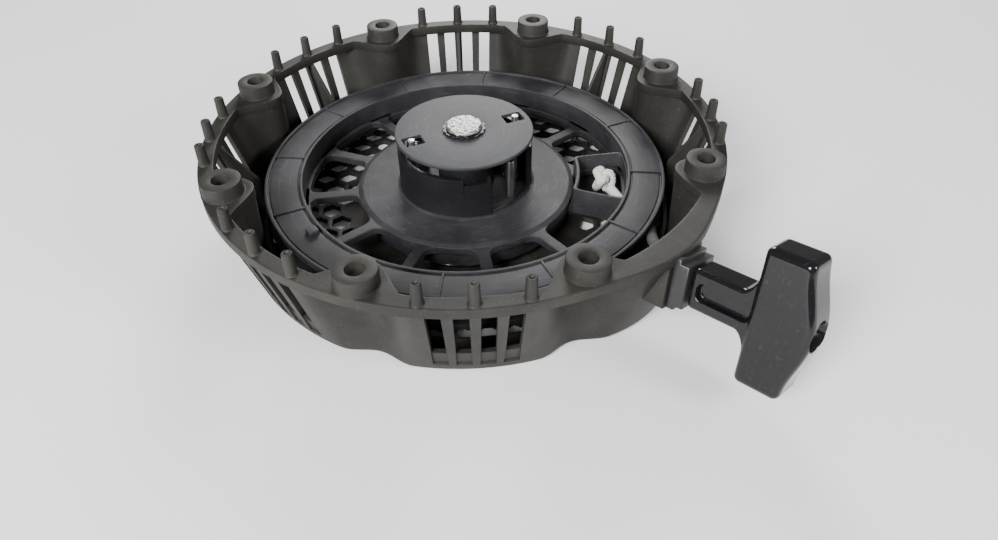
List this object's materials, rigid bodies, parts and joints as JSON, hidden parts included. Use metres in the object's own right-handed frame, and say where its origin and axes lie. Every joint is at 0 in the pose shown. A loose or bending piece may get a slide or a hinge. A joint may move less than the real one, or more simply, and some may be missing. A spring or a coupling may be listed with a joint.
{
  "type": "recoil starter",
  "caption": "Recoil starter for a small engine: slotted round housing with bolt bosses and a honeycomb face, rope reel with drum pawls, friction plate, and a T handle on a guided rope.",
  "frame": {"origin": "on the reel's axis, at the outer honeycomb face, which lies on the ground", "axes": "+Z along the reel's axis to the engine side; the handle leaves towards +X and -Y; the front of the housing is -Y"},
  "size_m": [0.2647, 0.2831, 0.0734],
  "materials": {
    "housing_plastic": "filled nylon, matte brown grey with a fine grain",
    "moulded_black": "moulded black plastic",
    "reel_plastic": "satin charcoal plastic",
    "handle_plastic": "gloss black plastic",
    "turned_steel": "turned steel",
    "rough_steel": "zinc plated, rough face",
    "dark_steel": "blackened steel",
    "coated_steel": "black coated steel",
    "spring_steel": "blued spring steel",
    "bearing_bronze": "sintered bronze",
    "braided_rope": "braided cord"
  },
  "bodies": {
    "housing": {"housing_shell": "housing_plastic", "honeycomb_face": "housing_plastic", "centre_post": "turned_steel", "post_screw_1": "turned_steel", "post_screw_2": "turned_steel", "post_screw_3": "turned_steel", "lock_ring": "dark_steel", "centre_bolt": "rough_steel", "rope_guide": "moulded_black", "rope_lead": "braided_rope"},
    "reel": {"reel": "reel_plastic", "reel_bush": "bearing_bronze", "spring_cover": "spring_steel", "recoil_spring": "spring_steel", "rope_winding": "braided_rope", "rope_knot": "braided_rope", "pawl_pin_1": "turned_steel", "pawl_pin_2": "turned_steel", "pawl_spring_1": "spring_steel", "pawl_spring_2": "spring_steel"},
    "plate": {"friction_plate": "coated_steel", "thrust_washer": "turned_steel", "brake_spring": "spring_steel"},
    "pawl_1": {"pawl_1": "turned_steel"},
    "pawl_2": {"pawl_2": "turned_steel"},
    "rope_end": {"handle_rope": "braided_rope", "handle_washer": "turned_steel", "handle_knot": "braided_rope"},
    "grip": {"handle_grip": "handle_plastic"}
  },
  "joints": [
    {"name": "reel_spin", "type": "hinge", "parent": "housing", "child": "reel", "pos_m": [0, 0, 0], "axis": [0, 0, -1], "range_deg": [0, 630], "stiffness_Nm_per_rad": 0.12, "springref_deg": -343.77},
    {"name": "plate_turn", "type": "hinge", "parent": "reel", "child": "plate", "pos_m": [0, 0, 0], "axis": [0, 0, 1], "range_deg": [0, 5], "stiffness_Nm_per_rad": 0.1, "springref_deg": -11.46},
    {"name": "pawl_1_swing", "type": "hinge", "parent": "reel", "child": "pawl_1", "pos_m": [0.024, 0.0008, 0.03], "axis": [0, 0, 1], "range_deg": [0, 27]},
    {"name": "pawl_2_swing", "type": "hinge", "parent": "reel", "child": "pawl_2", "pos_m": [-0.024, -0.0008, 0.03], "axis": [0, 0, 1], "range_deg": [0, 27]},
    {"name": "handle_pull", "type": "slide", "parent": "housing", "child": "rope_end", "axis": [0.6571, -0.7453, 0.1132], "range_m": [0, 1.03]},
    {"name": "handle_twist", "type": "hinge", "parent": "rope_end", "child": "grip", "pos_m": [0.08729, -0.09902, 0.036], "axis": [0.6571, -0.7453, 0.1132], "range_deg": [-90, 90]}
  ],
  "couplings": [
    {"joint": "handle_pull", "follows": "reel_spin", "m_per_rad": 0.093},
    {"joint": "pawl_1_swing", "follows": "plate_turn", "ratio": 5.4},
    {"joint": "pawl_2_swing", "follows": "plate_turn", "ratio": 5.4}
  ]
}
